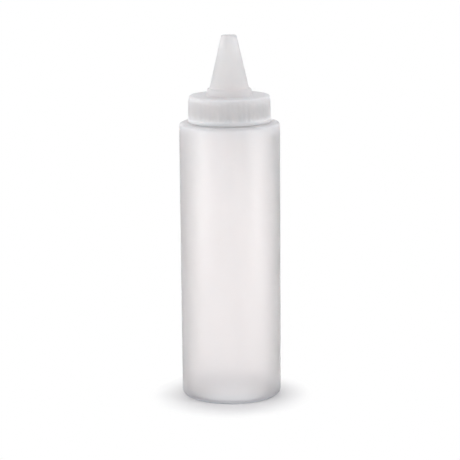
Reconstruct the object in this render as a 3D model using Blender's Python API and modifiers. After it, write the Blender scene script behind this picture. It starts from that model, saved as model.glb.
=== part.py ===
"""Condiment squeeze bottle: a soft round bottle, a screw-on spout cap and the sealing washer inside it.

Metres, +Z up. The origin is the centre of the foot, on the axis that every piece is turned about.
"""

import math

import bmesh
import bpy
from mathutils import Vector

# Clearances
SEAL_GAP = 0.0003  # left on each side of the washer
THREAD_GAP = 0.00035  # between thread crests and the wall they run past
FLANK_GAP = 0.0003  # between the flanks that pull the cap down
BURIED = 0.0005  # how far a joined-on ridge or rib starts inside its wall

# Bottle
BODY_RADIUS = 0.0254
BODY_WALL = 0.0010
BODY_HEIGHT = 0.1408  # foot to the shoulder's rim
HEEL_RADIUS = 0.0022
SHOULDER_RADIUS = 0.0016  # rounding of the shoulder's rim
SHOULDER_RISE = 0.0003  # from the rim in to the neck
SHOULDER_WALL = 0.0012
BASE_WALL = 0.0013
FOOT_RING_WIDTH = 0.0062  # flat ring that it stands on, round the push-up
PUSH_UP_HEIGHT = 0.0014

# Neck and its thread
NECK_RADIUS = 0.0175
NECK_WALL = 0.0016
NECK_HEIGHT = 0.0105
NECK_CHAMFER = 0.0004
NECK_FILLET = 0.0007
THREAD_PITCH = 0.00423
THREAD_DEPTH = 0.0012
THREAD_ROOT_WIDTH = 0.0023
THREAD_CREST_WIDTH = 0.0010
THREAD_TOP_LAND = 0.0008  # plain neck above the thread
NECK_THREAD_TURNS = 1.25
RUNOUT_TURNS = 0.12  # over which a thread fades into its wall

# Sealing washer
WASHER_THICKNESS = 0.0010
WASHER_SIDE_GAP = 0.0004

# Spout cap
SKIRT_WALL = 0.0013  # plain skirt, just under the deck's rounded rim
CAP_DRAFT = 0.0002  # how much wider the skirt is at its foot
CAP_RIM_RADIUS = 0.0010
DECK_THICKNESS = 0.0015
SKIRT_CLEARANCE = 0.0009  # from the shoulder's rim up to the skirt
LIP_HEIGHT = 0.0013
LIP_STEP = 0.0003
LIP_ROUND = 0.0003
LEAD_IN = 0.0006
CAP_THREAD_TURNS = 1.0
CAP_THREAD_LAND = 0.0006  # plain skirt below its thread
CAP_THREAD_CREST_WIDTH = 0.0009
RIB_COUNT = 48
RIB_HEIGHT = 0.0003
RIB_FOOT_WIDTH = 0.0015
RIB_CREST_WIDTH = 0.0009
RIB_TOP_LAND = 0.0007  # plain skirt between the rounded rim and the ribs

# Spout
COLLAR_HEIGHT = 0.0034
COLLAR_LEDGE = 0.00105  # its flat top, round the spout's foot
COLLAR_SPREAD = 0.0008  # how much wider its foot is
SPOUT_HEIGHT = 0.0267  # collar to tip
SPOUT_FOOT_RADIUS = 0.00995
SPOUT_TIP_RADIUS = 0.00375
SPOUT_TIP_ROUND = 0.0009
SPOUT_WALL = 0.0017
ORIFICE_RADIUS = 0.0015
ORIFICE_LENGTH = 0.0095
THROAT_LENGTH = 0.0020  # where the hollow cone narrows to the orifice

# Resolution
STEPS = 64  # facets round a turned piece
ARC_STEPS = 4  # facets in a rounded corner
DOME_STEPS = 4
SEAM_MERGE = 0.00001  # closes the seam of a turned piece
SHARP_ANGLE = 30  # degrees between faces, over which an edge shades sharp

# Heights that follow from the sizes above
RIM_Z = BODY_HEIGHT + NECK_HEIGHT
WASHER_Z = RIM_Z + SEAL_GAP
UNDERSIDE_Z = WASHER_Z + WASHER_THICKNESS + SEAL_GAP
DECK_Z = UNDERSIDE_Z + DECK_THICKNESS
CAP_Z = BODY_HEIGHT + SKIRT_CLEARANCE
TIP_Z = DECK_Z + COLLAR_HEIGHT + SPOUT_HEIGHT

# Radii that follow
THREAD_CREST_RADIUS = NECK_RADIUS + THREAD_DEPTH
SKIRT_BORE = THREAD_CREST_RADIUS + THREAD_GAP
CAP_RADIUS = SKIRT_BORE + SKIRT_WALL
CAP_THREAD_CREST = NECK_RADIUS + THREAD_GAP
COLLAR_TOP_RADIUS = SPOUT_FOOT_RADIUS + COLLAR_LEDGE
COLLAR_FOOT_RADIUS = COLLAR_TOP_RADIUS + COLLAR_SPREAD
PUSH_UP_RADIUS = BODY_RADIUS - HEEL_RADIUS - FOOT_RING_WIDTH
NECK_BORE = NECK_RADIUS - NECK_WALL
FLANK_SLOPE = (THREAD_ROOT_WIDTH - THREAD_CREST_WIDTH) / (2 * THREAD_DEPTH)

TAU = 2 * math.pi


def collection(name):
    """A new collection in the scene."""
    made = bpy.data.collections.new(name)
    bpy.context.scene.collection.children.link(made)
    return made


def plastic(name, colour, roughness):
    """A Principled material in one linear colour."""
    material = bpy.data.materials.new(name)
    material.use_nodes = True
    shader = material.node_tree.nodes["Principled BSDF"]
    shader.inputs["Base Color"].default_value = (*colour, 1)
    shader.inputs["Roughness"].default_value = roughness
    shader.inputs["Metallic"].default_value = 0
    return material


def arc(centre, radius, start, end, steps=ARC_STEPS):
    """Points of (radius, height) on an arc, from start to end in degrees, both ends included."""
    turns = [math.radians(start + (end - start) * i / steps) for i in range(steps + 1)]
    return [(centre[0] + radius * math.cos(t), centre[1] + radius * math.sin(t)) for t in turns]


def dome(radius, height, base):
    """Points of a shallow spherical cap, from its edge in to the axis."""
    ball = (radius**2 + height**2) / (2 * height)
    heights = []
    for i in range(DOME_STEPS + 1):
        r = radius * (1 - i / DOME_STEPS)
        heights.append((r, base + height - ball + math.sqrt(ball**2 - r**2)))
    return heights


def turned(name, outline, closed, into):
    """An object turned about Z. The outline climbs its inner side and comes down its outer side."""
    mesh = bpy.data.meshes.new(name)
    last = len(outline) - 1
    edges = [(i, i + 1) for i in range(last)] + ([(last, 0)] if closed else [])
    mesh.from_pydata([(r, 0, z) for r, z in outline], edges, [])
    made = bpy.data.objects.new(name, mesh)
    into.objects.link(made)
    screw = made.modifiers.new("turn", "SCREW")
    screw.axis = "Z"
    screw.steps = screw.render_steps = STEPS
    screw.use_merge_vertices = True
    screw.merge_threshold = SEAM_MERGE
    return made


def from_bmesh(name, shape, into):
    """An object made of a bmesh, with its faces pointing out."""
    bmesh.ops.recalc_face_normals(shape, faces=shape.faces)
    mesh = bpy.data.meshes.new(name)
    shape.to_mesh(mesh)
    shape.free()
    made = bpy.data.objects.new(name, mesh)
    into.objects.link(made)
    return made


def thread(name, root, crest, root_width, crest_width, start_z, first_turn, turns, into):
    """A right-hand ridge on a wall of radius root, which rises to radius crest and fades at both ends.

    start_z is the height of the ridge's middle at turn 0, and first_turn is where it begins.
    """
    outward = math.copysign(1, crest - root)
    buried_root = root - outward * BURIED
    buried_half = root_width / 2 + BURIED * FLANK_SLOPE
    hidden_crest = root - outward * BURIED / 2
    shape = bmesh.new()
    count = round(turns * STEPS)
    rings = []
    for i in range(count + 1):
        done = i / count * turns
        fade = min(1, done / RUNOUT_TURNS, (turns - done) / RUNOUT_TURNS)
        top = hidden_crest + (crest - hidden_crest) * fade
        angle = TAU * (first_turn + done)
        middle = start_z + THREAD_PITCH * (first_turn + done)
        corners = [
            (buried_root, -buried_half),
            (top, -crest_width / 2),
            (top, crest_width / 2),
            (buried_root, buried_half),
        ]
        aim = Vector((math.cos(angle), math.sin(angle), 0))
        rings.append([shape.verts.new(aim * r + Vector((0, 0, middle + z))) for r, z in corners])
    for low, high in zip(rings, rings[1:]):
        for a in range(len(low)):
            b = (a + 1) % len(low)
            shape.faces.new((low[a], low[b], high[b], high[a]))
    shape.faces.new(rings[0])
    shape.faces.new(rings[-1])
    return from_bmesh(name, shape, into)


def grip_ribs(name, low_z, high_z, low_radius, high_radius, into):
    """Upright ribs round the skirt, each a tapered bar whose top slopes back into the wall."""
    shape = bmesh.new()
    for i in range(RIB_COUNT):
        angle = TAU * i / RIB_COUNT
        aim = Vector((math.cos(angle), math.sin(angle), 0))
        side = Vector((-math.sin(angle), math.cos(angle), 0))
        rings = []
        for z, wall, crest_z in (
            (low_z, low_radius, low_z),
            (high_z, high_radius, high_z - RIB_HEIGHT),
        ):
            rings.append(
                [
                    shape.verts.new(aim * r + side * s + Vector((0, 0, at)))
                    for r, s, at in (
                        (wall - BURIED, -RIB_FOOT_WIDTH / 2, z),
                        (wall + RIB_HEIGHT, -RIB_CREST_WIDTH / 2, crest_z),
                        (wall + RIB_HEIGHT, RIB_CREST_WIDTH / 2, crest_z),
                        (wall - BURIED, RIB_FOOT_WIDTH / 2, z),
                    )
                ]
            )
        low, high = rings
        for a in range(len(low)):
            b = (a + 1) % len(low)
            shape.faces.new((low[a], low[b], high[b], high[a]))
        shape.faces.new(low)
        shape.faces.new(high)
    return from_bmesh(name, shape, into)


def join_on(base, *additions):
    """Joins ridges and ribs to a turned piece with Boolean unions that stay on it."""
    for addition in additions:
        addition.hide_render = True
        addition.display_type = "WIRE"
        union = base.modifiers.new(f"join {addition.name}", "BOOLEAN")
        union.operation = "UNION"
        union.solver = "EXACT"
        union.object = addition


def settle(piece, additions, material, location, parent):
    """Turns a piece's modifiers into its mesh, shades it, and puts it in its place under its axis."""
    bpy.context.view_layer.update()
    evaluated = piece.evaluated_get(bpy.context.evaluated_depsgraph_get())
    mesh = bpy.data.meshes.new_from_object(evaluated)
    piece.modifiers.clear()
    piece.data = mesh
    for addition in additions:
        bpy.data.objects.remove(addition)
    mesh.materials.clear()
    mesh.materials.append(material)
    mesh.shade_smooth()
    mesh.set_sharp_from_angle(angle=math.radians(SHARP_ANGLE))
    piece.parent = parent
    piece.location = location


def axis_empty(name, height, parent, into):
    """An empty on the bottle's axis."""
    made = bpy.data.objects.new(name, None)
    into.objects.link(made)
    made.parent = parent
    made.location = (0, 0, height)
    return made


def neck_thread_start():
    """Height of the neck thread's middle at turn 0."""
    top = RIM_Z - THREAD_TOP_LAND - THREAD_ROOT_WIDTH / 2
    return top - NECK_THREAD_TURNS * THREAD_PITCH


def cap_thread_drop():
    """How far the cap thread's middle lies under the neck thread's, at the same turn."""
    engaged = THREAD_CREST_RADIUS - CAP_THREAD_CREST
    neck_half = THREAD_CREST_WIDTH / 2 + engaged * FLANK_SLOPE
    side = FLANK_GAP * math.hypot(1, FLANK_SLOPE)
    return neck_half + CAP_THREAD_CREST_WIDTH / 2 + side


def bottle_outline():
    """The bottle's wall, from the middle of its floor, up inside, over the rim and down to its foot."""
    heel_r = BODY_RADIUS - HEEL_RADIUS
    inner_heel = HEEL_RADIUS - BODY_WALL
    rim_r = BODY_RADIUS - SHOULDER_RADIUS
    inner_rim = SHOULDER_RADIUS - BODY_WALL
    ceiling = BODY_HEIGHT - SHOULDER_WALL
    floor_dome = dome(PUSH_UP_RADIUS, PUSH_UP_HEIGHT, BASE_WALL)
    inside = floor_dome[::-1]
    inside += arc((heel_r, BASE_WALL + inner_heel), inner_heel, -90, 0)
    inside += arc((rim_r, ceiling - inner_rim), inner_rim, 0, 90)
    inside += [
        (NECK_BORE + NECK_FILLET, ceiling),
        (NECK_BORE, ceiling + NECK_FILLET),
        (NECK_BORE, RIM_Z - NECK_CHAMFER),
        (NECK_BORE + NECK_CHAMFER, RIM_Z),
    ]
    outside = [
        (NECK_RADIUS - NECK_CHAMFER, RIM_Z),
        (NECK_RADIUS, RIM_Z - NECK_CHAMFER),
    ]
    foot_of_neck = BODY_HEIGHT + SHOULDER_RISE + NECK_FILLET
    outside += arc((NECK_RADIUS + NECK_FILLET, foot_of_neck), NECK_FILLET, 180, 270)
    outside += arc((rim_r, BODY_HEIGHT - SHOULDER_RADIUS), SHOULDER_RADIUS, 90, 0)
    outside += arc((heel_r, HEEL_RADIUS), HEEL_RADIUS, 0, -90)
    outside += dome(PUSH_UP_RADIUS, PUSH_UP_HEIGHT, 0)
    return inside + outside


def washer_outline():
    """A flat ring, as wide as the neck's rim and the cap's seat."""
    inner = NECK_BORE + NECK_CHAMFER / 2
    outer = SKIRT_BORE - WASHER_SIDE_GAP
    return [(inner, 0), (inner, WASHER_THICKNESS), (outer, WASHER_THICKNESS), (outer, 0)]


def spout_slope():
    """Radius that the spout loses for each metre that it climbs."""
    return (SPOUT_FOOT_RADIUS - SPOUT_TIP_RADIUS) / SPOUT_HEIGHT


def cap_outline():
    """The cap's wall, up inside the skirt and spout and down outside, in heights from the skirt's foot."""
    deck = DECK_Z - CAP_Z
    underside = UNDERSIDE_Z - CAP_Z
    tip = TIP_Z - CAP_Z
    collar = deck + COLLAR_HEIGHT
    lean = math.atan(spout_slope())
    bore_foot = SPOUT_FOOT_RADIUS + spout_slope() * (collar - underside) - SPOUT_WALL / math.cos(lean)
    throat_foot = tip - ORIFICE_LENGTH - THROAT_LENGTH
    throat_radius = bore_foot - spout_slope() * (throat_foot - underside)
    foot_radius = CAP_RADIUS + CAP_DRAFT
    lip_radius = foot_radius + LIP_STEP
    inside = [
        (SKIRT_BORE + LEAD_IN, 0),
        (SKIRT_BORE, LEAD_IN),
        (SKIRT_BORE, underside),
        (bore_foot, underside),
        (throat_radius, throat_foot),
        (ORIFICE_RADIUS, tip - ORIFICE_LENGTH),
        (ORIFICE_RADIUS, tip),
    ]
    corner = SPOUT_TIP_ROUND
    inset = corner * math.tan((math.pi / 2 - lean) / 2)
    tip_centre = (SPOUT_TIP_RADIUS - inset, tip - corner)
    outside = arc(tip_centre, corner, 90, math.degrees(lean))
    outside += [
        (SPOUT_FOOT_RADIUS, collar),
        (COLLAR_TOP_RADIUS, collar),
        (COLLAR_FOOT_RADIUS, deck),
    ]
    outside += arc((CAP_RADIUS - CAP_RIM_RADIUS, deck - CAP_RIM_RADIUS), CAP_RIM_RADIUS, 90, 0)
    outside += [(foot_radius, LIP_HEIGHT + LIP_STEP), (lip_radius, LIP_HEIGHT)]
    outside += arc((lip_radius - LIP_ROUND, LIP_ROUND), LIP_ROUND, 0, -90, ARC_STEPS // 2)
    return inside + outside


def make_bottle(parts, cutters, material, axis):
    """The blown bottle with its threaded neck."""
    bottle = turned("bottle", bottle_outline(), False, parts)
    ridge = thread(
        "neck_thread",
        NECK_RADIUS,
        THREAD_CREST_RADIUS,
        THREAD_ROOT_WIDTH,
        THREAD_CREST_WIDTH,
        neck_thread_start(),
        0,
        NECK_THREAD_TURNS,
        cutters,
    )
    join_on(bottle, ridge)
    settle(bottle, [ridge], material, (0, 0, 0), axis)


def make_washer(parts, material, axis):
    """The washer that seals the cap on the neck's rim."""
    washer = turned("seal_washer", washer_outline(), True, parts)
    settle(washer, [], material, (0, 0, 0), axis)


def make_cap(parts, cutters, material, axis):
    """The moulded cap with its spout, thread and grip ribs."""
    cap = turned("spout_cap", cap_outline(), True, parts)
    root_width = CAP_THREAD_CREST_WIDTH + 2 * FLANK_SLOPE * (SKIRT_BORE - CAP_THREAD_CREST)
    start = neck_thread_start() - cap_thread_drop() - CAP_Z
    lowest = CAP_THREAD_LAND + LEAD_IN + root_width / 2
    ridge = thread(
        "cap_thread",
        SKIRT_BORE,
        CAP_THREAD_CREST,
        root_width,
        CAP_THREAD_CREST_WIDTH,
        start,
        (lowest - start) / THREAD_PITCH,
        CAP_THREAD_TURNS,
        cutters,
    )
    rib_low = LIP_HEIGHT - LIP_STEP
    rib_high = DECK_Z - CAP_Z - CAP_RIM_RADIUS - RIB_TOP_LAND
    ribs = grip_ribs("grip_ribs", rib_low, rib_high, CAP_RADIUS + CAP_DRAFT, CAP_RADIUS, cutters)
    join_on(cap, ridge, ribs)
    settle(cap, [ridge, ribs], material, (0, 0, 0), axis)


def main():
    """Clears the scene and makes every piece in its place."""
    for old in list(bpy.data.objects):
        bpy.data.objects.remove(old)
    parts = collection("squeeze_bottle")
    cutters = collection("cutters")
    soft = plastic("natural_soft_polyethylene", (0.83, 0.80, 0.81), 0.38)
    firm = plastic("natural_moulded_polyethylene", (0.76, 0.72, 0.72), 0.42)
    foam = plastic("white_sealing_foam", (0.88, 0.87, 0.86), 0.8)
    stand = axis_empty("bottle_axis", 0, None, parts)
    washer_axis = axis_empty("washer_axis", WASHER_Z, stand, parts)
    cap_axis = axis_empty("cap_axis", CAP_Z, stand, parts)
    make_bottle(parts, cutters, soft, stand)
    make_washer(parts, foam, washer_axis)
    make_cap(parts, cutters, firm, cap_axis)


main()
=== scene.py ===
"""Dresses a condiment squeeze bottle: the blown bottle, its screw-on spout cap and the washer.

Sizes are in metres. The origin is the centre of the foot, +Z runs up the axis that every piece is
turned about, and -Y points at the camera.
"""

from __future__ import annotations

import logging
import math
from dataclasses import dataclass, field
from enum import Enum
from typing import Any, Mapping, Sequence

import bmesh
import bpy
import numpy as np
from mathutils import Matrix, Vector

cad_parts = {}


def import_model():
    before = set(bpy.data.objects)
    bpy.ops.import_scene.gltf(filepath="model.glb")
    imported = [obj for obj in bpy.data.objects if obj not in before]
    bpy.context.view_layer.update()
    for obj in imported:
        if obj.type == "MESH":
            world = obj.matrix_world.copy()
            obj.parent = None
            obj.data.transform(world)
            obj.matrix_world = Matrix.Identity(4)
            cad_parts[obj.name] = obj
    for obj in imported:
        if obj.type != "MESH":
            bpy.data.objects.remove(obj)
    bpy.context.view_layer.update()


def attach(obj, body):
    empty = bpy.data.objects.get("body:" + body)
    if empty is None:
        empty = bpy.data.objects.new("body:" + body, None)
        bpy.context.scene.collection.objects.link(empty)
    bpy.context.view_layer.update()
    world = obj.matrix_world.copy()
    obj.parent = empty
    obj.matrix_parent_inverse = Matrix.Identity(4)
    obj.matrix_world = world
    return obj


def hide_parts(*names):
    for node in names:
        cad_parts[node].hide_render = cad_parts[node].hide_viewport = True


LOG = logging.getLogger("squeeze_bottle")
TAU = 2 * math.pi
MM = 0.001
MERGE_DISTANCE = 1e-7
FILLET_STEP = math.radians(12)
THREAD_END_SCALE = 0.02  # of a ridge's section at its ends; 0 would leave faces without area
WALL_SLACK = 0.05 * MM  # how far inside the skirt's outer wall a point still counts as on it


def linear(hex_colour: str) -> tuple[float, float, float, float]:
    """Turns a colour into what a socket takes.

    Args:
        hex_colour: An sRGB colour, such as "#F4EFEE".

    Returns:
        The linear red, green, blue and an alpha of 1.
    """
    channels = []
    for start in (1, 3, 5):
        value = int(hex_colour[start : start + 2], 16) / 255
        channels.append(value / 12.92 if value <= 0.04045 else ((value + 0.055) / 1.055) ** 2.4)
    return (*channels, 1.0)


def add(
    tree: bpy.types.NodeTree,
    kind: str,
    settings: Mapping[str, Any] | None = None,
    inputs: Mapping[int | str, Any] | None = None,
) -> bpy.types.Node:
    """Adds a node with its settings, values and links.

    Args:
        tree: The tree that gets the node.
        kind: The node's type name.
        settings: Properties of the node itself.
        inputs: Input sockets by name or place, each with a value or with the socket that feeds it.

    Returns:
        The new node.
    """
    node = tree.nodes.new(kind)
    for name, value in (settings or {}).items():
        setattr(node, name, value)
    for socket, value in (inputs or {}).items():
        if isinstance(value, bpy.types.NodeSocket):
            tree.links.new(value, node.inputs[socket])
        else:
            node.inputs[socket].default_value = value
    return node


def calculate(tree: bpy.types.NodeTree, operation: str, *values: Any) -> bpy.types.NodeSocket:
    """Adds a Math node and returns its result.

    Args:
        tree: The tree that gets the node.
        operation: What the node does.
        *values: Its inputs in order, each a number or the socket that feeds it.

    Returns:
        The socket that holds the result.
    """
    node = add(tree, "ShaderNodeMath", {"operation": operation}, dict(enumerate(values)))
    return node.outputs[0]


def mapped(
    tree: bpy.types.NodeTree,
    value: bpy.types.NodeSocket,
    start: Any,
    end: Any,
    first: Any = 0.0,
    last: Any = 1.0,
    smooth: bool = True,
) -> bpy.types.NodeSocket:
    """Adds a Map Range node, which turns start to end into first to last and holds beyond them.

    Args:
        tree: The tree that gets the node.
        value: What is mapped.
        start: The value that gives first.
        end: The value that gives last.
        first: The result at start.
        last: The result at end.
        smooth: Whether the change eases in and out.

    Returns:
        The socket that holds the result.
    """
    node = add(
        tree,
        "ShaderNodeMapRange",
        {"interpolation_type": "SMOOTHSTEP" if smooth else "LINEAR"},
        {"Value": value, "From Min": start, "From Max": end, "To Min": first, "To Max": last},
    )
    return node.outputs[0]


def mixed(
    tree: bpy.types.NodeTree, factor: bpy.types.NodeSocket, first: str, last: str
) -> bpy.types.NodeSocket:
    """Adds a mix of two hex colours, first at a factor of 0 and last at 1, and returns it."""
    node = add(
        tree,
        "ShaderNodeMix",
        {"data_type": "RGBA"},
        {"Factor": factor, 6: linear(first), 7: linear(last)},
    )
    return node.outputs[2]


@dataclass(frozen=True)
class Corner:
    """One corner of a turned piece's outline, and the radius that it is rounded to."""

    radius: float
    height: float
    fillet: float = 0.0

    @property
    def point(self) -> np.ndarray:
        """The corner as an array of radius and height."""
        return np.array((self.radius, self.height))


def unit(vector: np.ndarray) -> np.ndarray:
    """Returns the vector at a length of 1."""
    return vector / np.linalg.norm(vector)


def rounded(corners: Sequence[Corner], closed: bool) -> np.ndarray:
    """Draws the outline through some corners, with an arc at each that has a fillet.

    Args:
        corners: The corners in order.
        closed: Whether the last corner joins the first.

    Returns:
        The outline's points, as rows of radius and height.
    """
    points: list[np.ndarray] = []
    last = len(corners) - 1
    for i, corner in enumerate(corners):
        here = corner.point
        if corner.fillet <= 0 or (not closed and i in (0, last)):
            points.append(here)
            continue
        back = unit(corners[i - 1].point - here)
        onward = unit(corners[(i + 1) % len(corners)].point - here)
        half = math.acos(float(np.clip(back @ onward, -1, 1))) / 2
        centre = here + unit(back + onward) * corner.fillet / math.sin(half)
        start = here + back * corner.fillet / math.tan(half) - centre
        end = here + onward * corner.fillet / math.tan(half) - centre
        first = math.atan2(start[1], start[0])
        sweep = (math.atan2(end[1], end[0]) - first + math.pi) % TAU - math.pi
        count = max(2, math.ceil(abs(sweep) / FILLET_STEP))
        for step in range(count + 1):
            angle = first + sweep * step / count
            points.append(centre + corner.fillet * np.array((math.cos(angle), math.sin(angle))))
    return np.array(points)


def refined(outline: np.ndarray, spacing: float) -> np.ndarray:
    """Adds points to an outline so that none lies further than spacing from the next."""
    points = [outline[:1]]
    for start, end in zip(outline[:-1], outline[1:]):
        count = max(1, math.ceil(float(np.linalg.norm(end - start)) / spacing))
        shares = np.arange(1, count + 1)[:, None] / count
        points.append(start + (end - start) * shares)
    return np.concatenate(points)


def even_angles(count: int) -> np.ndarray:
    """Returns angles spread evenly round the axis, in radians."""
    return np.arange(count) * TAU / count


def revolve(name: str, outline: np.ndarray, angles: np.ndarray, closed: bool) -> bpy.types.Object:
    """Turns an outline round the Z axis into a closed, smooth-shaded shell.

    Args:
        name: The new object's name.
        outline: Rows of radius and height.
        angles: The angles that the outline is drawn at, in radians.
        closed: Whether the outline's last point joins its first. If not, both lie on the axis.

    Returns:
        The new object, with its faces pointing out.
    """
    rows, columns = len(outline), len(angles)
    points = np.empty((rows, columns, 3))
    points[..., 0] = outline[:, :1] * np.cos(angles)
    points[..., 1] = outline[:, :1] * np.sin(angles)
    points[..., 2] = outline[:, 1:]
    here = np.arange(rows if closed else rows - 1)[:, None] * columns
    above = (here + columns) % (rows * columns)
    column = np.arange(columns)
    beside = (column + 1) % columns
    faces = np.stack((here + column, here + beside, above + beside, above + column), -1)
    mesh = bpy.data.meshes.new(name)
    mesh.from_pydata(points.reshape(-1, 3).tolist(), [], faces.reshape(-1, 4).tolist())
    shape = bmesh.new()
    shape.from_mesh(mesh)
    bmesh.ops.remove_doubles(shape, verts=shape.verts, dist=MERGE_DISTANCE)
    bmesh.ops.recalc_face_normals(shape, faces=shape.faces)
    shape.to_mesh(mesh)
    shape.free()
    mesh.shade_smooth()
    piece = bpy.data.objects.new(name, mesh)
    bpy.context.scene.collection.objects.link(piece)
    return piece


class GeometryRecipe:
    """A Geometry Nodes tree with named inputs, which a piece's modifier fills in."""

    def __init__(self, name: str, sizes: Sequence[str]) -> None:
        """Starts the tree with a Geometry, a Material and one number input for each size.

        Args:
            name: The tree's name.
            sizes: The names of its number inputs.
        """
        self.tree = bpy.data.node_groups.new(name, "GeometryNodeTree")
        face = self.tree.interface
        face.new_socket("Geometry", in_out="INPUT", socket_type="NodeSocketGeometry")
        face.new_socket("Geometry", in_out="OUTPUT", socket_type="NodeSocketGeometry")
        face.new_socket("Material", in_out="INPUT", socket_type="NodeSocketMaterial")
        for size in sizes:
            face.new_socket(size, in_out="INPUT", socket_type="NodeSocketFloat")
        self.given = add(self.tree, "NodeGroupInput").outputs

    def maths(self, operation: str, *values: Any) -> bpy.types.NodeSocket:
        """Adds a Math node to this tree and returns its result."""
        return calculate(self.tree, operation, *values)

    def finish(self, geometry: bpy.types.NodeSocket) -> None:
        """Ends the tree with real geometry in the given material.

        Args:
            geometry: The socket that holds the finished shape.
        """
        real = add(self.tree, "GeometryNodeRealizeInstances", inputs={"Geometry": geometry})
        smooth = add(self.tree, "GeometryNodeSetShadeSmooth", inputs={"Geometry": real.outputs[0]})
        dressed = add(
            self.tree,
            "GeometryNodeSetMaterial",
            inputs={"Geometry": smooth.outputs[0], "Material": self.given["Material"]},
        )
        add(self.tree, "NodeGroupOutput", inputs={"Geometry": dressed.outputs[0]})

    def apply(
        self, piece: bpy.types.Object, material: bpy.types.Material, sizes: Mapping[str, float]
    ) -> None:
        """Runs the tree on a piece and keeps the result as the piece's plain mesh.

        Args:
            piece: The object whose mesh is changed.
            material: What the result is made of.
            sizes: A value for each of the tree's number inputs.
        """
        modifier = piece.modifiers.new(self.tree.name, "NODES")
        modifier.node_group = self.tree
        values = {"Material": material, **sizes}
        for item in self.tree.interface.items_tree:
            if item.in_out == "INPUT" and item.name in values:
                modifier[item.identifier] = values[item.name]
        graph = bpy.context.evaluated_depsgraph_get()
        evaluated = piece.evaluated_get(graph)
        mesh = bpy.data.meshes.new_from_object(evaluated, depsgraph=graph)
        piece.modifiers.remove(modifier)
        piece.data = mesh
        mesh.name = piece.name


@dataclass(frozen=True)
class ScrewThread:
    """A right-hand ridge that climbs a round wall and fades at both ends."""

    wall_radius: float
    crest_radius: float
    root_width: float
    crest_width: float
    start_height: float  # of the ridge's middle at turn 0
    first_turn: float
    turns: float
    pitch: float = 4.23 * MM  # six threads to the inch
    fade_turns: float = 0.12
    rounding: float = 0.2 * MM
    buried: float = 0.4 * MM
    points_per_turn: int = 128

    @staticmethod
    def recipe() -> GeometryRecipe:
        """Builds the tree that sweeps a ridge along a helix and joins it to a wall.

        Returns:
            The recipe, whose inputs are the sizes that sizes() gives.
        """
        recipe = GeometryRecipe(
            "screw_thread",
            (
                "Wall Radius",
                "Depth",
                "Root Half",
                "Crest Half",
                "Buried",
                "Rounding",
                "Start Height",
                "First Turn",
                "Turns",
                "Pitch",
                "Fade Turns",
                "Points",
            ),
        )
        tree, given, maths = recipe.tree, recipe.given, recipe.maths
        line = add(tree, "GeometryNodeCurvePrimitiveLine")
        points = add(
            tree,
            "GeometryNodeResampleCurve",
            inputs={"Curve": line.outputs[0], "Count": given["Points"]},
        )
        share = add(tree, "GeometryNodeSplineParameter").outputs["Factor"]
        done = maths("MULTIPLY", share, given["Turns"])
        turn = maths("ADD", given["First Turn"], done)
        angle = maths("MULTIPLY", turn, TAU)
        place = add(
            tree,
            "ShaderNodeCombineXYZ",
            inputs={
                0: maths("MULTIPLY", given["Wall Radius"], maths("COSINE", angle)),
                1: maths("MULTIPLY", given["Wall Radius"], maths("SINE", angle)),
                2: maths("MULTIPLY_ADD", turn, given["Pitch"], given["Start Height"]),
            },
        )
        helix = add(
            tree,
            "GeometryNodeSetPosition",
            inputs={"Geometry": points.outputs[0], "Position": place.outputs[0]},
        )
        left = maths("MINIMUM", done, maths("SUBTRACT", given["Turns"], done))
        fade = mapped(tree, left, 0.0, given["Fade Turns"], THREAD_END_SCALE)
        upright = add(
            tree,
            "GeometryNodeSetCurveNormal",
            {"mode": "Z_UP"},
            {"Curve": helix.outputs[0]},
        )
        profile = add(tree, "GeometryNodeCurvePrimitiveQuadrilateral", {"mode": "POINTS"})
        outline = (
            ("Point 1", "SUBTRACT", "Root Half", "Buried"),
            ("Point 2", "SUBTRACT", "Crest Half", "Depth"),
            ("Point 3", "ADD", "Crest Half", "Depth"),
            ("Point 4", "ADD", "Root Half", "Buried"),
        )
        for point, side, width, depth in outline:
            across = maths(side, 0.0, given[width])
            out = given[depth] if depth == "Depth" else maths("MULTIPLY", given[depth], -1.0)
            corner = add(tree, "ShaderNodeCombineXYZ", inputs={0: out, 1: across})
            tree.links.new(corner.outputs[0], profile.inputs[point])
        soft = add(
            tree,
            "GeometryNodeFilletCurve",
            {"mode": "POLY"},
            {"Curve": profile.outputs[0], "Count": 3, "Radius": given["Rounding"]},
        )
        ridge = add(
            tree,
            "GeometryNodeCurveToMesh",
            inputs={
                "Curve": upright.outputs[0],
                "Profile Curve": soft.outputs[0],
                "Scale": fade,
                "Fill Caps": True,
            },
        )
        joined = add(
            tree,
            "GeometryNodeMeshBoolean",
            {"operation": "UNION", "solver": "EXACT"},
            {"Mesh 2": given["Geometry"]},
        )
        tree.links.new(ridge.outputs[0], joined.inputs["Mesh 2"])
        recipe.finish(joined.outputs[0])
        return recipe

    def sizes(self) -> dict[str, float]:
        """Returns this thread's values for the recipe's inputs."""
        outward = math.copysign(1, self.crest_radius - self.wall_radius)
        return {
            "Wall Radius": self.wall_radius,
            "Depth": self.crest_radius - self.wall_radius,
            "Root Half": self.root_width / 2,
            "Crest Half": self.crest_width / 2,
            "Buried": outward * self.buried,
            "Rounding": self.rounding,
            "Start Height": self.start_height,
            "First Turn": self.first_turn,
            "Turns": self.turns,
            "Pitch": self.pitch,
            "Fade Turns": self.fade_turns,
            "Points": round(self.turns * self.points_per_turn) + 1,
        }


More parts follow.
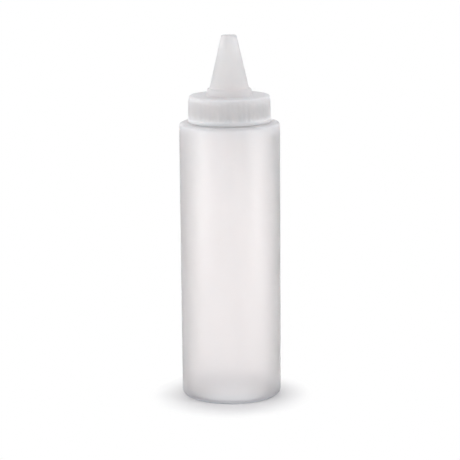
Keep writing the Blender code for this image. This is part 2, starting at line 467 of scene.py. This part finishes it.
@dataclass(frozen=True)
class GripRibs:
    """Upright ribs spread round a skirt, whose tops fade into its wall.

    They are lower and slope more than the solid's, which looks nearer to the photograph.
    """

    count: int = 48
    height: float = 0.24 * MM
    foot_width: float = 1.9 * MM
    crest_width: float = 0.5 * MM
    fade: float = 0.5 * MM

    def angles(self, radius: float) -> np.ndarray:
        """Gives the angles round the skirt that draw every rib cleanly.

        Args:
            radius: The radius of the wall that the ribs stand on.

        Returns:
            Eight angles for each rib: its middle, its crest, its foot and the hollow between.
        """
        pitch = TAU / self.count
        crest = self.crest_width / 2 / radius
        foot = self.foot_width / 2 / radius
        flank = (crest + foot) / 2
        side = (crest, flank, foot)
        one = np.array((0, *side, pitch / 2, *(pitch - angle for angle in reversed(side))))
        return (np.arange(self.count)[:, None] * pitch + one).ravel()

    @staticmethod
    def recipe() -> GeometryRecipe:
        """Builds the tree that raises the ribs out of a skirt's outer wall.

        Returns:
            The recipe, whose inputs are the skirt's and the ribs' sizes.
        """
        recipe = GeometryRecipe(
            "grip_ribs",
            (
                "Count",
                "Rib Height",
                "Foot Half",
                "Crest Half",
                "Wall Radius",
                "Low",
                "High",
                "Fade",
            ),
        )
        tree, given, maths = recipe.tree, recipe.given, recipe.maths
        position = add(tree, "GeometryNodeInputPosition").outputs[0]
        split = add(tree, "ShaderNodeSeparateXYZ", inputs={0: position}).outputs
        radius = maths(
            "SQRT", maths("ADD", maths("POWER", split[0], 2.0), maths("POWER", split[1], 2.0))
        )
        turn = maths("DIVIDE", maths("ARCTAN2", split[1], split[0]), TAU)
        place = maths("FRACT", maths("MULTIPLY_ADD", turn, given["Count"], 0.5))
        share = maths("ABSOLUTE", maths("SUBTRACT", place, 0.5))
        around = maths("MULTIPLY", given["Wall Radius"], TAU)
        away = maths("MULTIPLY", share, maths("DIVIDE", around, given["Count"]))
        across = mapped(tree, away, given["Crest Half"], given["Foot Half"], 1.0, 0.0)
        fading = maths("SUBTRACT", given["High"], given["Fade"])
        upward = mapped(tree, split[2], fading, given["High"], 1.0, 0.0)
        on_skirt = maths(
            "MULTIPLY",
            maths("GREATER_THAN", split[2], given["Low"]),
            maths("GREATER_THAN", radius, maths("SUBTRACT", given["Wall Radius"], WALL_SLACK)),
        )
        rise = maths("MULTIPLY", maths("MULTIPLY", across, upward), on_skirt)
        raised = maths("DIVIDE", maths("MULTIPLY", rise, given["Rib Height"]), radius)
        offset = add(
            tree,
            "ShaderNodeCombineXYZ",
            inputs={0: maths("MULTIPLY", split[0], raised), 1: maths("MULTIPLY", split[1], raised)},
        )
        ribbed = add(
            tree,
            "GeometryNodeSetPosition",
            inputs={"Geometry": given["Geometry"], "Offset": offset.outputs[0]},
        )
        recipe.finish(ribbed.outputs[0])
        return recipe

    def sizes(self, wall_radius: float, low: float, high: float) -> dict[str, float]:
        """Gives the values for the recipe's inputs.

        Args:
            wall_radius: The radius of the skirt's wall between the ribs.
            low: The height that the ribs start above.
            high: The height that they end at.

        Returns:
            A value for each input.
        """
        return {
            "Count": float(self.count),
            "Rib Height": self.height,
            "Foot Half": self.foot_width / 2,
            "Crest Half": self.crest_width / 2,
            "Wall Radius": wall_radius,
            "Low": low,
            "High": high,
            "Fade": self.fade,
        }


class Process(Enum):
    """How a plastic piece was made, which decides the marks that its mould left."""

    BLOWN = "blown"
    MOULDED = "moulded"


@dataclass(frozen=True)
class WallStop:
    """How clear and how tinted the plastic is at one height.

    A thick wall scatters more of the light, so it looks cloudier than a thin one.
    """

    height: float
    transmission: float
    tint: str = "#FFFFFF"


@dataclass(frozen=True)
class NaturalPolyethylene:
    """Unpigmented polyethylene: milky and waxy, and clear enough to show what is behind it.

    Polyethylene's index of refraction is 1.51. Both pieces take a lower one, which is no real
    value: it stands in for the light that scatters inside the wall, and it lightens the deck, the
    line under the cap and the bottle's floor.
    """

    name: str
    process: Process
    pale: str
    deep: str
    wall: tuple[WallStop, ...]
    roughness: float
    scatter: float
    ior: float
    depth: float  # how far light spreads inside it
    spread: tuple[float, float, float] = (1.0, 0.93, 0.9)  # of red, green and blue, in depths
    # The plate's lift keeps the painted heel shade of the wall's stops off the base plate.
    plate_radius: float = 2.0 * MM  # well within it is a base plate, thinner than the heel round it
    plate_lift: float = 0.0  # what the plate adds to the height that its stops go by
    plate_fade: float = 2 * MM
    cloud_size: float = 14 * MM  # of the faint drifts in its colour
    haze_size: float = 3 * MM  # of the patches that are a little rougher or smoother
    haze_spread: float = 0.05  # of their roughness, up and down
    # The mould's grain. A real one is finer than a pixel of the picture, so it is drawn coarser.
    grain_size: float = 0.6 * MM
    grain_depth: float = 0.0012 * MM
    seam_half_width: float = 0.22 * MM  # of the parting line that a blow mould leaves
    seam_height: float = 0.035 * MM

    def material(self) -> bpy.types.Material:
        """Builds the material on the piece's own Object coordinates."""
        material = bpy.data.materials.new(self.name)
        material.use_nodes = True
        tree = material.node_tree
        shader = tree.nodes["Principled BSDF"]
        shader.inputs["IOR"].default_value = self.ior
        shader.inputs["Subsurface Weight"].default_value = self.scatter
        shader.inputs["Subsurface Radius"].default_value = self.spread
        shader.inputs["Subsurface Scale"].default_value = self.depth
        where = add(tree, "ShaderNodeTexCoord").outputs["Object"]
        clouds = self.noise(tree, where, self.cloud_size, detail=2.0)
        colour = mixed(tree, clouds, self.deep, self.pale)
        by_height = self.by_height(tree, where)
        tinted = add(
            tree,
            "ShaderNodeMix",
            {"data_type": "RGBA", "blend_type": "MULTIPLY"},
            {"Factor": 1.0, 6: colour, 7: by_height.outputs["Color"]},
        )
        tree.links.new(tinted.outputs[2], shader.inputs["Base Color"])
        tree.links.new(by_height.outputs["Alpha"], shader.inputs["Transmission Weight"])
        patches = self.noise(tree, where, self.haze_size, detail=3.0)
        rough = (self.roughness - self.haze_spread, self.roughness + self.haze_spread)
        haze = mapped(tree, patches, 0.0, 1.0, *rough, smooth=False)
        tree.links.new(haze, shader.inputs["Roughness"])
        bump = add(
            tree, "ShaderNodeBump", inputs={"Distance": 1.0, "Height": self.relief(tree, where)}
        )
        tree.links.new(bump.outputs[0], shader.inputs["Normal"])
        return material

    def by_height(self, tree: bpy.types.NodeTree, where: bpy.types.NodeSocket) -> bpy.types.Node:
        """Adds a ramp up the piece, whose colour is the tint and whose alpha is the transmission.

        Args:
            tree: The material's tree.
            where: The Object coordinates.

        Returns:
            The ramp's node.
        """
        split = add(tree, "ShaderNodeSeparateXYZ", inputs={0: where}).outputs
        flat = add(tree, "ShaderNodeCombineXYZ", inputs={0: split[0], 1: split[1]})
        radius = add(tree, "ShaderNodeVectorMath", {"operation": "LENGTH"}, {0: flat.outputs[0]})
        plate = (self.plate_radius, self.plate_radius - self.plate_fade)
        lift = mapped(tree, radius.outputs["Value"], *plate, 0.0, self.plate_lift, smooth=False)
        height = calculate(tree, "ADD", lift, split[2])
        low, high = self.wall[0].height, self.wall[-1].height
        share = mapped(tree, height, low, high, smooth=False)
        node = add(tree, "ShaderNodeValToRGB", inputs={0: share})
        elements = node.color_ramp.elements
        while len(elements) < len(self.wall):
            elements.new(1.0)
        for element, stop in zip(elements, self.wall):
            element.position = (stop.height - low) / (high - low)
            element.color = (*linear(stop.tint)[:3], stop.transmission)
        return node

    @staticmethod
    def noise(
        tree: bpy.types.NodeTree, where: bpy.types.NodeSocket, size: float, detail: float
    ) -> bpy.types.NodeSocket:
        """Adds noise whose blotches are about size across, and returns its value."""
        node = add(
            tree,
            "ShaderNodeTexNoise",
            inputs={"Vector": where, "Scale": 1 / size, "Detail": detail},
        )
        return node.outputs[0]

    def relief(
        self, tree: bpy.types.NodeTree, where: bpy.types.NodeSocket
    ) -> bpy.types.NodeSocket:
        """Adds the mould's fine grain and its parting line, as a height in metres.

        Args:
            tree: The material's tree.
            where: The Object coordinates.

        Returns:
            The socket that holds the height.
        """
        bumps = self.noise(tree, where, self.grain_size, detail=3.0)
        grain = calculate(tree, "MULTIPLY", bumps, self.grain_depth)
        if self.process is Process.MOULDED:
            return grain
        side = add(tree, "ShaderNodeSeparateXYZ", inputs={0: where}).outputs[1]
        away = calculate(tree, "ABSOLUTE", side)
        seam = mapped(tree, away, 0.0, self.seam_half_width, self.seam_height, 0.0)
        return calculate(tree, "ADD", grain, seam)


@dataclass(frozen=True)
class SealingFoam:
    """White closed-cell foam: matte and chalky, with cells that just show."""

    name: str = "white_sealing_foam"
    white: str = "#EFEDEA"
    cell_edge: str = "#E2E0DD"
    roughness: float = 0.85
    cell_size: float = 0.35 * MM
    cell_depth: float = 0.05 * MM
    cell_strength: float = 0.4

    def material(self) -> bpy.types.Material:
        """Builds the material on the piece's own Object coordinates."""
        material = bpy.data.materials.new(self.name)
        material.use_nodes = True
        tree = material.node_tree
        shader = tree.nodes["Principled BSDF"]
        shader.inputs["Roughness"].default_value = self.roughness
        where = add(tree, "ShaderNodeTexCoord").outputs["Object"]
        cells = add(
            tree, "ShaderNodeTexVoronoi", inputs={"Vector": where, "Scale": 1 / self.cell_size}
        )
        colour = mixed(tree, cells.outputs["Distance"], self.white, self.cell_edge)
        tree.links.new(colour, shader.inputs["Base Color"])
        bump = add(
            tree,
            "ShaderNodeBump",
            inputs={
                "Strength": self.cell_strength,
                "Distance": self.cell_depth,
                "Height": cells.outputs["Distance"],
            },
        )
        tree.links.new(bump.outputs[0], shader.inputs["Normal"])
        return material


@dataclass(frozen=True)
class BlownBottle:
    """The soft bottle, blown in one piece, with its threaded neck."""

    radius: float = 25.4 * MM
    wall: float = 1.0 * MM
    height: float = 140.8 * MM
    heel: float = 2.2 * MM
    shoulder: float = 1.6 * MM
    shoulder_rise: float = 0.3 * MM
    shoulder_wall: float = 1.2 * MM
    base_wall: float = 1.3 * MM
    foot_ring: float = 6.2 * MM
    push_up: float = 1.4 * MM
    neck_radius: float = 17.5 * MM
    neck_wall: float = 1.6 * MM
    neck_height: float = 10.5 * MM
    thread_depth: float = 1.2 * MM
    thread_root: float = 2.3 * MM
    thread_crest: float = 1.0 * MM
    thread_top_land: float = 0.8 * MM
    thread_turns: float = 1.25
    unevenness: float = 0.05 * MM  # of the outside
    inner_unevenness: float = 3.0  # as a multiple of the outside's
    onset: float = 3.0  # how fast it grows from the foot, and from the shoulder down
    # Each swell of it: lobes round the bottle, size, and its turn at the foot and over the height.
    swells: tuple[tuple[float, float, float, float], ...] = (
        (2, 1.0, 0.7, 2.1),
        (3, 0.6, -1.9, 5.3),
        (5, 0.5, 0.3, -3.7),
    )
    dome_round: float = 2 * MM  # where the foot ring turns up into the push-up
    throat_round: float = 0.7 * MM  # where the neck meets the shoulder
    rim_round: float = 0.4 * MM
    ring_spacing: float = 3 * MM  # between the rings of points that draw the wall
    dome_rings: int = 9
    columns: int = 256
    # Soft blown plastic: hazy, so that each strip lamp makes a broad pale band on it, and clear
    # enough to show its own floor from the side. Its heel is tinted darker and bluer as painted
    # shade.
    finish: NaturalPolyethylene = field(
        default_factory=lambda: NaturalPolyethylene(
            name="natural_blown_polyethylene",
            process=Process.BLOWN,
            pale="#FEFBFB",
            deep="#FCF9F9",
            wall=(
                # The dark blue tint at the heel, gone by 1.4 mm, is painted shade for the contact
                # shadow seen through the foot; the faint blue up to 4.4 mm is painted cool shade
                # under the bottle.
                WallStop(0.0, 0.9, "#B2BCCC"),  # heel
                WallStop(0.5 * MM, 0.95, "#D0D8E4"),
                WallStop(1.4 * MM, 1.0, "#FCFEFF"),  # base plate and the wall next to it
                WallStop(4.4 * MM, 1.0, "#FCFEFF"),
                WallStop(6 * MM, 0.92),  # body
                WallStop(90 * MM, 0.92),
                WallStop(135 * MM, 0.78),
                WallStop(139 * MM, 0.45),  # shoulder and neck
            ),
            roughness=0.44,
            scatter=1.0,
            ior=1.4,
            plate_radius=22.8 * MM,
            plate_lift=1.4 * MM,
            depth=6 * MM,
        )
    )

    @property
    def rim_height(self) -> float:
        """Height of the neck's rim above the floor."""
        return self.height + self.neck_height

    def dome(self, base: float) -> list[Corner]:
        """Draws the push-up from the foot ring in to the axis, from a height of base."""
        edge = self.radius - self.heel - self.foot_ring
        ball = (edge**2 + self.push_up**2) / (2 * self.push_up)
        radii = np.linspace(edge, 0, self.dome_rings)
        heights = base + self.push_up - ball + np.sqrt(ball**2 - radii**2)
        fillets = (self.dome_round,) + (0.0,) * (self.dome_rings - 1)
        return [Corner(float(r), float(z), f) for r, z, f in zip(radii, heights, fillets)]

    def outline(self) -> np.ndarray:
        """Draws the wall, up inside from the middle of the floor and down outside to the foot."""
        bore = self.neck_radius - self.neck_wall
        ceiling = self.height - self.shoulder_wall
        inner = self.radius - self.wall
        inside = self.dome(self.base_wall)[::-1] + [
            Corner(inner, self.base_wall, self.heel - self.wall),
            Corner(inner, ceiling, self.shoulder - self.wall),
            Corner(bore, ceiling, self.throat_round),
            Corner(bore, self.rim_height, self.rim_round),
        ]
        outside = [
            Corner(self.neck_radius, self.rim_height, self.rim_round),
            Corner(self.neck_radius, self.height + self.shoulder_rise, self.throat_round),
            Corner(self.radius - self.shoulder, self.height, 0.0),
            Corner(self.radius, self.height, self.shoulder),
            Corner(self.radius, 0, self.heel),
        ]
        corners = inside + outside + self.dome(0)
        return refined(rounded(corners, closed=False), self.ring_spacing)

    def relax(self, piece: bpy.types.Object) -> None:
        """Gives the body the slight unevenness of a blown wall, and more of it inside.

        Args:
            piece: The turned bottle, whose mesh is changed.
        """
        mesh = piece.data
        flat = np.empty(len(mesh.vertices) * 3)
        mesh.vertices.foreach_get("co", flat)
        points = flat.reshape(-1, 3)
        radius = np.hypot(points[:, 0], points[:, 1])
        angle = np.arctan2(points[:, 1], points[:, 0])
        height = points[:, 2] / self.height
        middle = np.clip(np.sin(np.pi * np.clip(height, 0, 1)) * self.onset, 0, 1)
        middle *= np.clip((radius - (self.radius - 2 * self.wall)) / self.wall, 0, 1)
        inward = np.where(radius < self.radius - self.wall / 2, self.inner_unevenness, 1.0)
        waves = sum(
            size * np.sin(lobes * angle + turn + climb * height)
            for lobes, size, turn, climb in self.swells
        )
        change = 1 + self.unevenness * inward * middle * waves / 2 / np.maximum(radius, MM)
        points[:, :2] *= change[:, None]
        mesh.vertices.foreach_set("co", points.ravel())
        mesh.update()

    def thread(self) -> ScrewThread:
        """Gives the neck's thread, which ends a little below the rim."""
        top = self.rim_height - self.thread_top_land - self.thread_root / 2
        pitch = ScrewThread.pitch
        return ScrewThread(
            wall_radius=self.neck_radius,
            crest_radius=self.neck_radius + self.thread_depth,
            root_width=self.thread_root,
            crest_width=self.thread_crest,
            start_height=top - self.thread_turns * pitch,
            first_turn=0,
            turns=self.thread_turns,
        )

    def build(self, threads: GeometryRecipe) -> bpy.types.Object:
        """Makes the bottle and puts it in place of its solid.

        Args:
            threads: The recipe that raises a screw thread.

        Returns:
            The finished piece.
        """
        piece = revolve("blown_bottle", self.outline(), even_angles(self.columns), closed=False)
        self.relax(piece)
        threads.apply(piece, self.finish.material(), self.thread().sizes())
        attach(piece, "bottle")
        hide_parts("bottle")
        return piece


@dataclass(frozen=True)
class SpoutCap:
    """The screw cap, moulded in one piece: ribbed skirt, thread, deck, collar and hollow spout."""

    bottle: BlownBottle
    seal_gap: float = 0.3 * MM
    washer: float = 1.0 * MM
    thread_gap: float = 0.35 * MM
    flank_gap: float = 0.3 * MM
    skirt_wall: float = 1.3 * MM
    draft: float = 0.2 * MM
    rim: float = 1.0 * MM
    deck: float = 1.5 * MM
    clearance: float = 0.2 * MM  # over the bottle's shoulder
    lip: float = 2.0 * MM  # the plain band under the ribs
    lip_step: float = 0.3 * MM
    lead_in: float = 0.6 * MM
    thread_land: float = 0.6 * MM
    thread_crest: float = 0.9 * MM
    rib_top_land: float = 0.7 * MM
    collar: float = 3.4 * MM
    collar_ledge: float = 1.05 * MM
    collar_spread: float = 0.8 * MM
    spout: float = 26.7 * MM
    spout_foot: float = 9.95 * MM
    spout_tip: float = 3.75 * MM
    tip_round: float = 0.9 * MM
    spout_wall: float = 1.7 * MM
    orifice: float = 1.5 * MM
    orifice_length: float = 9.5 * MM
    throat: float = 2.0 * MM
    fine_round: float = 0.15 * MM
    soft_round: float = 0.3 * MM
    inner_round: float = 0.2 * MM  # between the skirt's bore and the deck's underside
    hollow_round: float = 0.4 * MM
    throat_round: float = 1.0 * MM
    orifice_round: float = 0.5 * MM
    mouth_round: float = 0.25 * MM
    spout_foot_round: float = 0.35 * MM
    lip_round: float = 0.1 * MM
    rib_settle: float = 0.02 * MM  # between the ribs' end and the next ring of points
    ribs: GripRibs = GripRibs()
    # Thicker moulded plastic: milkier than the bottle, with a satin face.
    finish: NaturalPolyethylene = field(
        default_factory=lambda: NaturalPolyethylene(
            name="natural_moulded_polyethylene",
            process=Process.MOULDED,
            pale="#FBF5F3",
            deep="#F8F2F0",
            wall=(
                WallStop(143.5 * MM, 0.15),  # lip
                WallStop(144.5 * MM, 0.5),  # skirt
                WallStop(151 * MM, 0.5),
                WallStop(153 * MM, 0.3),  # deck
                WallStop(157 * MM, 0.35),  # collar
                WallStop(163 * MM, 0.5, "#F6FAFB"),  # spout
            ),
            roughness=0.45,
            scatter=1.0,
            ior=1.25,
            depth=5 * MM,
        )
    )

    @property
    def foot_height(self) -> float:
        """Height of the skirt's foot above the floor."""
        return self.bottle.height + self.clearance

    @property
    def underside_height(self) -> float:
        """Height of the deck's underside, which presses on the washer."""
        return self.bottle.rim_height + 2 * self.seal_gap + self.washer

    @property
    def deck_height(self) -> float:
        """Height of the deck's top."""
        return self.underside_height + self.deck

    @property
    def bore(self) -> float:
        """Inner radius of the skirt, clear of the neck's thread."""
        return self.bottle.neck_radius + self.bottle.thread_depth + self.thread_gap

    @property
    def radius(self) -> float:
        """Outer radius of the plain skirt, just under the deck's rounded rim."""
        return self.bore + self.skirt_wall

    def outline(self) -> np.ndarray:
        """Draws the wall, up inside the skirt and spout and down outside."""
        foot, deck, under = self.foot_height, self.deck_height, self.underside_height
        collar = deck + self.collar
        tip = collar + self.spout
        slope = (self.spout_foot - self.spout_tip) / self.spout
        hollow = self.spout_foot + slope * (collar - under) - self.spout_wall * math.hypot(1, slope)
        throat = tip - self.orifice_length - self.throat
        wide = self.radius + self.draft
        lip = wide + self.lip_step
        collar_top = self.spout_foot + self.collar_ledge
        corners = [
            Corner(self.bore + self.lead_in, foot, self.fine_round),
            Corner(self.bore, foot + self.lead_in, self.fine_round),
            Corner(self.bore, under, self.inner_round),
            Corner(hollow, under, self.hollow_round),
            Corner(hollow - slope * (throat - under), throat, self.throat_round),
            Corner(self.orifice, tip - self.orifice_length, self.orifice_round),
            Corner(self.orifice, tip, self.mouth_round),
            Corner(self.spout_tip, tip, self.tip_round),
            Corner(self.spout_foot, collar, self.spout_foot_round),
            Corner(collar_top, collar, self.soft_round),
            Corner(collar_top + self.collar_spread, deck, self.soft_round),
            Corner(self.radius, deck, self.rim),
            Corner(self.radius, self.rib_high + self.rib_settle),
            Corner(self.radius, self.rib_high - self.ribs.fade / 2),
            Corner(self.radius, self.rib_high - self.ribs.fade),
            Corner(wide, foot + self.lip + self.lip_step),
            Corner(lip, foot + self.lip, self.lip_round),
            Corner(lip, foot, self.soft_round),
        ]
        return rounded(corners, closed=True)

    @property
    def rib_high(self) -> float:
        """Height at which the ribs have faded into the skirt."""
        return self.deck_height - self.rim - self.rib_top_land

    def thread(self) -> ScrewThread:
        """Gives the cap's thread, which hooks under the neck's."""
        neck = self.bottle.thread()
        slope = (neck.root_width - neck.crest_width) / 2 / self.bottle.thread_depth
        crest = self.bottle.neck_radius + self.thread_gap
        root_width = self.thread_crest + 2 * slope * (self.bore - crest)
        engaged = neck.crest_radius - crest
        side = self.flank_gap * math.hypot(1, slope)
        drop = neck.crest_width / 2 + engaged * slope + self.thread_crest / 2 + side
        start = neck.start_height - drop
        lowest = self.foot_height + self.thread_land + self.lead_in + root_width / 2
        return ScrewThread(
            wall_radius=self.bore,
            crest_radius=crest,
            root_width=root_width,
            crest_width=self.thread_crest,
            start_height=start,
            first_turn=(lowest - start) / neck.pitch,
            turns=1.0,
        )

    def build(self, threads: GeometryRecipe, ribs: GeometryRecipe) -> bpy.types.Object:
        """Makes the cap and puts it in place of its solid.

        Args:
            threads: The recipe that raises a screw thread.
            ribs: The recipe that raises grip ribs.

        Returns:
            The finished piece.
        """
        angles = self.ribs.angles(self.radius)
        piece = revolve("moulded_spout_cap", self.outline(), angles, closed=True)
        material = self.finish.material()
        low = self.foot_height + self.lip + self.lip_step / 2
        ribs.apply(piece, material, self.ribs.sizes(self.radius, low, self.rib_high))
        threads.apply(piece, material, self.thread().sizes())
        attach(piece, "cap")
        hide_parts("spout_cap")
        return piece


@dataclass(frozen=True)
class SealingWasher:
    """The flat foam washer between the neck's rim and the cap's deck."""

    cap: SpoutCap
    side_gap: float = 0.4 * MM
    bore_gap: float = 0.2 * MM
    rounding: float = 0.12 * MM
    columns: int = 192
    finish: SealingFoam = SealingFoam()

    def build(self) -> bpy.types.Object:
        """Makes the washer and puts it in place of its solid."""
        low = self.cap.bottle.rim_height + self.cap.seal_gap
        high = low + self.cap.washer
        inner = self.cap.bottle.neck_radius - self.cap.bottle.neck_wall + self.bore_gap
        outer = self.cap.bore - self.side_gap
        corners = [
            Corner(inner, low, self.rounding),
            Corner(inner, high, self.rounding),
            Corner(outer, high, self.rounding),
            Corner(outer, low, self.rounding),
        ]
        outline = rounded(corners, closed=True)
        piece = revolve("foam_sealing_washer", outline, even_angles(self.columns), closed=True)
        piece.data.materials.append(self.finish.material())
        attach(piece, "washer")
        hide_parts("seal_washer")
        return piece


@dataclass(frozen=True)
class Softbox:
    """One area lamp that faces a point on the bottle's axis."""

    name: str
    azimuth: float  # degrees from the camera's side, to the right
    elevation: float
    distance: float
    width: float
    height: float
    power: float
    aim_height: float = 0.09

    def build(self) -> None:
        """Adds the lamp to the scene."""
        lamp = bpy.data.lights.new(self.name, "AREA")
        lamp.shape = "RECTANGLE"
        lamp.size = self.width
        lamp.size_y = self.height
        lamp.energy = self.power
        across, up = math.radians(self.azimuth), math.radians(self.elevation)
        away = Vector(
            (math.sin(across) * math.cos(up), -math.cos(across) * math.cos(up), math.sin(up))
        )
        holder = bpy.data.objects.new(self.name, lamp)
        holder.location = away * self.distance + Vector((0, 0, self.aim_height))
        holder.rotation_euler = away.to_track_quat("Z", "Y").to_euler()
        bpy.context.scene.collection.objects.link(holder)


def side_strip(name: str, azimuth: float, power: float) -> Softbox:
    """Gives a low strip at the bottle's side, which draws an upright pale band on its wall."""
    return Softbox(
        name,
        azimuth,
        elevation=5,
        distance=0.38,
        width=0.16,
        height=0.3,
        power=power,
        aim_height=0.06,
    )


def seen_directly(tree: bpy.types.NodeTree) -> bpy.types.NodeSocket:
    """Adds a value that is 1 for what is seen, mirrored or seen through, and 0 for its light.

    Args:
        tree: The floor's or the world's tree.

    Returns:
        The socket that holds the value.
    """
    path = add(tree, "ShaderNodeLightPath").outputs
    value = path["Is Camera Ray"]
    for kind in ("Is Glossy Ray", "Is Transmission Ray"):
        value = calculate(tree, "MAXIMUM", value, path[kind])
    return value


@dataclass(frozen=True)
class Studio:
    """White floor, soft lamps, a pale room and the photograph's camera."""

    # The camera's place and lens, which were fitted to the photograph's outline.
    distance: float = 0.87574
    eye_height: float = 0.26468
    pitch: float = 11.58148  # degrees down
    roll: float = 0.49711  # degrees
    sideways: float = -0.00023
    focal_pixels: float = 1753.236
    frame_pixels: float = 460
    sensor_width: float = 36  # millimetres
    floor_half: float = 6.0
    # Within near the shadow is rendered; between near and far the lit paper fades into emitted
    # white, so the shadow's soft edge and its lean are painted shadow.
    near: float = 0.021  # the floor takes shadow within this radius
    far: float = 0.043  # and is an even white beyond this one
    shadow_lean: float = 0.006  # of both, towards the camera
    painted_glow_within: float = 0.010  # painted glow: the floor under the bottle emits light for what is seen through the bottle
    painted_glow_until: float = 0.021
    painted_glow_tint: str = "#FAFDFF"
    # The paper's grey darkens the lit floor near the bottle: painted shade that deepens its shadow.
    paper_shade_colour: str = "#E2E0DE"
    paper_roughness: float = 0.9
    paper_specular: float = 0.2
    ambient: str = "#6F7786"
    boxes: tuple[Softbox, ...] = (
        Softbox("overhead_softbox", 180, 80, distance=1.1, width=1.3, height=1.3, power=10.0),
        side_strip("left_strip", -62, power=1.25),
        side_strip("right_strip", 62, power=1.08),
    )

    def camera(self) -> None:
        """Adds the camera at the photograph's place, tilt and focal length."""
        data = bpy.data.cameras.new("photo_camera")
        data.sensor_width = self.sensor_width
        data.lens = self.focal_pixels / self.frame_pixels * data.sensor_width
        camera = bpy.data.objects.new("photo_camera", data)
        turn = Matrix.Rotation(math.radians(90 - self.pitch), 4, "X")
        lean = Matrix.Rotation(math.radians(-self.roll), 4, "Z")
        place = Matrix.Translation((self.sideways, -self.distance, self.eye_height))
        camera.matrix_world = place @ turn @ lean
        bpy.context.scene.collection.objects.link(camera)
        bpy.context.scene.camera = camera

    def floor(self) -> None:
        """Adds the white sweep that the bottle stands on."""
        half = self.floor_half
        mesh = bpy.data.meshes.new("paper_floor")
        corners = [(-half, -half, 0), (half, -half, 0), (half, half, 0), (-half, half, 0)]
        mesh.from_pydata(corners, [], [(0, 1, 2, 3)])
        floor = bpy.data.objects.new("paper_floor", mesh)
        bpy.context.scene.collection.objects.link(floor)
        mesh.materials.append(self.paper())

    def paper(self) -> bpy.types.Material:
        """Builds white paper that takes the bottle's shadow, partly painted, and is an even white
        further out.
        """
        material = bpy.data.materials.new("white_paper")
        material.use_nodes = True
        tree = material.node_tree
        shader = tree.nodes["Principled BSDF"]
        shader.inputs["Base Color"].default_value = linear(self.paper_shade_colour)
        shader.inputs["Roughness"].default_value = self.paper_roughness
        shader.inputs["Specular IOR Level"].default_value = self.paper_specular
        where = add(tree, "ShaderNodeTexCoord").outputs["Object"]
        leaning = add(
            tree,
            "ShaderNodeVectorMath",
            {"operation": "ADD"},
            {0: where, 1: (0, self.shadow_lean, 0)},
        )
        away = add(tree, "ShaderNodeVectorMath", {"operation": "LENGTH"}, {0: leaning.outputs[0]})
        reach = away.outputs["Value"]
        far = mapped(tree, reach, self.near, self.far)
        # Painted glow: under the bottle the floor emits a faintly blue white for rays seen through
        # the bottle, in place of light that came through it.
        under = mapped(tree, reach, self.painted_glow_within, self.painted_glow_until, 1.0, 0.0)
        even = calculate(tree, "ADD", far, under)
        factor = calculate(tree, "MULTIPLY", even, seen_directly(tree))
        painted_glow_colour = mixed(tree, under, "#FFFFFF", self.painted_glow_tint)
        white = add(tree, "ShaderNodeEmission", inputs={"Color": painted_glow_colour})
        blend = add(
            tree,
            "ShaderNodeMixShader",
            inputs={0: factor, 1: shader.outputs[0], 2: white.outputs[0]},
        )
        tree.links.new(blend.outputs[0], tree.nodes["Material Output"].inputs["Surface"])
        return material

    def room(self) -> None:
        """Sets the world: white where it is seen, and dim and cool where it only gives light."""
        world = bpy.data.worlds.new("pale_room")
        bpy.context.scene.world = world
        world.use_nodes = True
        tree = world.node_tree
        colour = mixed(tree, seen_directly(tree), self.ambient, "#FFFFFF")
        tree.links.new(colour, tree.nodes["Background"].inputs["Color"])

    def build(self) -> None:
        """Adds everything round the bottle."""
        self.camera()
        self.floor()
        self.room()
        for box in self.boxes:
            box.build()


def main() -> None:
    """Builds the studio and every piece."""
    logging.basicConfig(level=logging.INFO, format="%(message)s")
    bpy.context.scene.view_settings.view_transform = "Standard"
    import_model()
    Studio().build()
    threads = ScrewThread.recipe()
    bottle = BlownBottle()
    cap = SpoutCap(bottle)
    pieces = [
        bottle.build(threads),
        cap.build(threads, GripRibs.recipe()),
        SealingWasher(cap).build(),
    ]
    for piece in pieces:
        LOG.info("%s: %d faces", piece.name, len(piece.data.polygons))
    bpy.context.view_layer.update()


if __name__ == "__main__":
    main()
